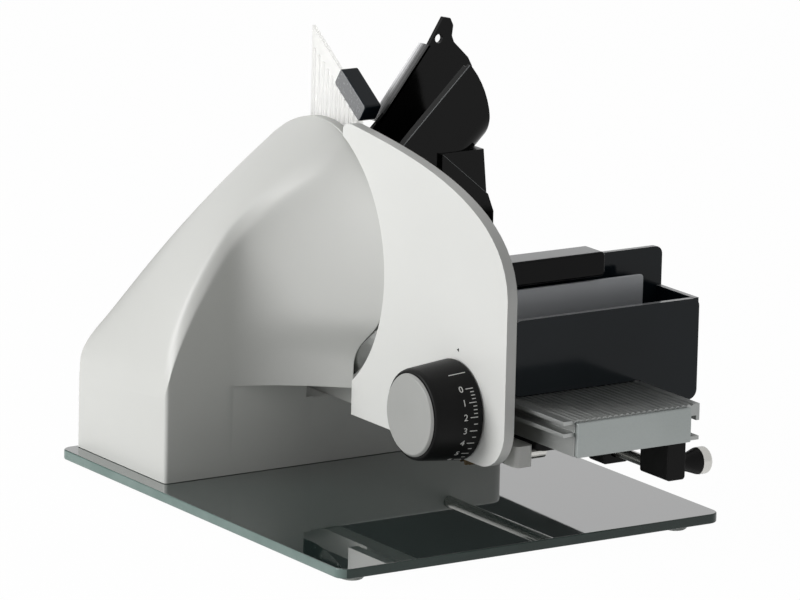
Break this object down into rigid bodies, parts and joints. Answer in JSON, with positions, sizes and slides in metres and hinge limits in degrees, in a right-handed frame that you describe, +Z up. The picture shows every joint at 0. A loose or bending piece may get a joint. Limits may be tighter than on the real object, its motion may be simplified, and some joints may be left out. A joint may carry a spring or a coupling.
{
  "type": "electric food slicer",
  "caption": "Kitchen food slicer with a round motor-driven blade, dial-set stop plate and sliding carriage with hand guard and food chute, on a glass base.",
  "frame": {"origin": "centre of the footprint on the surface that the feet stand on", "axes": "+Z up; +X along the blade's axle, from the motor housing to the carriage; +Y from the user's side to the back"},
  "size_m": [0.27, 0.3578, 0.29],
  "materials": {
    "painted_casting": "light grey gloss paint",
    "glass": "polished, smoke-green tint",
    "foot_rubber": "soft, pale",
    "blade_steel": "fine turned",
    "plain_steel": "bright drawn",
    "tray_aluminium": "matt anodised",
    "black_plastic": "semi-gloss black",
    "grey_plastic": "satin light grey",
    "brass": "plain",
    "pale_plastic": "translucent pale",
    "gear_nylon": "natural"
  },
  "bodies": {
    "base": {"glass_base": "glass", "foot_front_left": "foot_rubber", "foot_front_right": "foot_rubber", "foot_rear_left": "foot_rubber", "foot_rear_right": "foot_rubber", "housing": "painted_casting", "bottom_cover": "black_plastic", "spindle_bush": "brass", "motor": "plain_steel", "worm_bearing": "brass", "slide_arm": "painted_casting", "guide_rod": "plain_steel", "rod_end_block": "black_plastic", "cord_gland": "black_plastic"},
    "blade_rotor": {"blade": "blade_steel", "blade_screw": "plain_steel", "blade_spindle": "plain_steel", "worm_wheel": "gear_nylon"},
    "motor_rotor": {"motor_worm": "plain_steel"},
    "stop_plate_slide": {"stop_plate": "painted_casting", "guide_pin_1": "plain_steel", "guide_pin_2": "plain_steel"},
    "thickness_dial": {"dial": "black_plastic", "dial_cap": "grey_plastic", "dial_gear": "gear_nylon"},
    "adjusting_screw": {"slide_screw": "plain_steel", "screw_gear": "brass"},
    "carriage": {"carriage_tray": "tray_aluminium", "front_end_cap": "tray_aluminium", "rear_end_cap": "tray_aluminium", "rod_shoe": "black_plastic", "arm_shoe": "black_plastic", "hand_guard": "black_plastic", "guard_liner": "grey_plastic", "guard_grip": "black_plastic", "food_chute": "black_plastic"},
    "pusher": {"pusher_plate": "pale_plastic", "pusher_grip": "black_plastic"},
    "lock": {"lock_knob": "black_plastic", "lock_knob_cap": "plain_steel"},
    "switch": {"switch_button": "black_plastic"}
  },
  "joints": [
    {"name": "blade_spin", "type": "hinge", "parent": "base", "child": "blade_rotor", "pos_m": [-0.016, 0.0769, 0.1415], "axis": [1, 0, 0], "continuous": true},
    {"name": "motor_spin", "type": "hinge", "parent": "base", "child": "motor_rotor", "pos_m": [-0.0475, 0.0884, 0.1125], "axis": [0, 1, 0], "continuous": true},
    {"name": "plate_slide", "type": "slide", "parent": "base", "child": "stop_plate_slide", "axis": [-1, 0, 0], "range_m": [0, 0.02]},
    {"name": "dial_turn", "type": "hinge", "parent": "stop_plate_slide", "child": "thickness_dial", "pos_m": [-0.04, -0.0866, 0.082], "axis": [-1, 0, 0], "range_deg": [0, 300]},
    {"name": "screw_turn", "type": "hinge", "parent": "stop_plate_slide", "child": "adjusting_screw", "pos_m": [-0.01, -0.0866, 0.0595], "axis": [1, 0, 0], "range_deg": [0, 300]},
    {"name": "carriage_slide", "type": "slide", "parent": "base", "child": "carriage", "axis": [0, 1, 0], "range_m": [0, 0.16]},
    {"name": "pusher_lift", "type": "slide", "parent": "carriage", "child": "pusher", "axis": [0, 0, 1], "range_m": [0, 0.06]},
    {"name": "lock_turn", "type": "hinge", "parent": "base", "child": "lock", "pos_m": [0.098, -0.1526, 0.0498], "axis": [1, 0, 0], "range_deg": [-90, 90]},
    {"name": "switch_press", "type": "slide", "parent": "base", "child": "switch", "axis": [-1, 0, 0], "range_m": [0, 0.002], "stiffness_N_per_m": 800}
  ],
  "couplings": [
    {"joint": "motor_spin", "follows": "blade_spin", "ratio": 22},
    {"joint": "dial_turn", "follows": "plate_slide", "rad_per_m": 261.8},
    {"joint": "screw_turn", "follows": "plate_slide", "rad_per_m": 261.8}
  ]
}
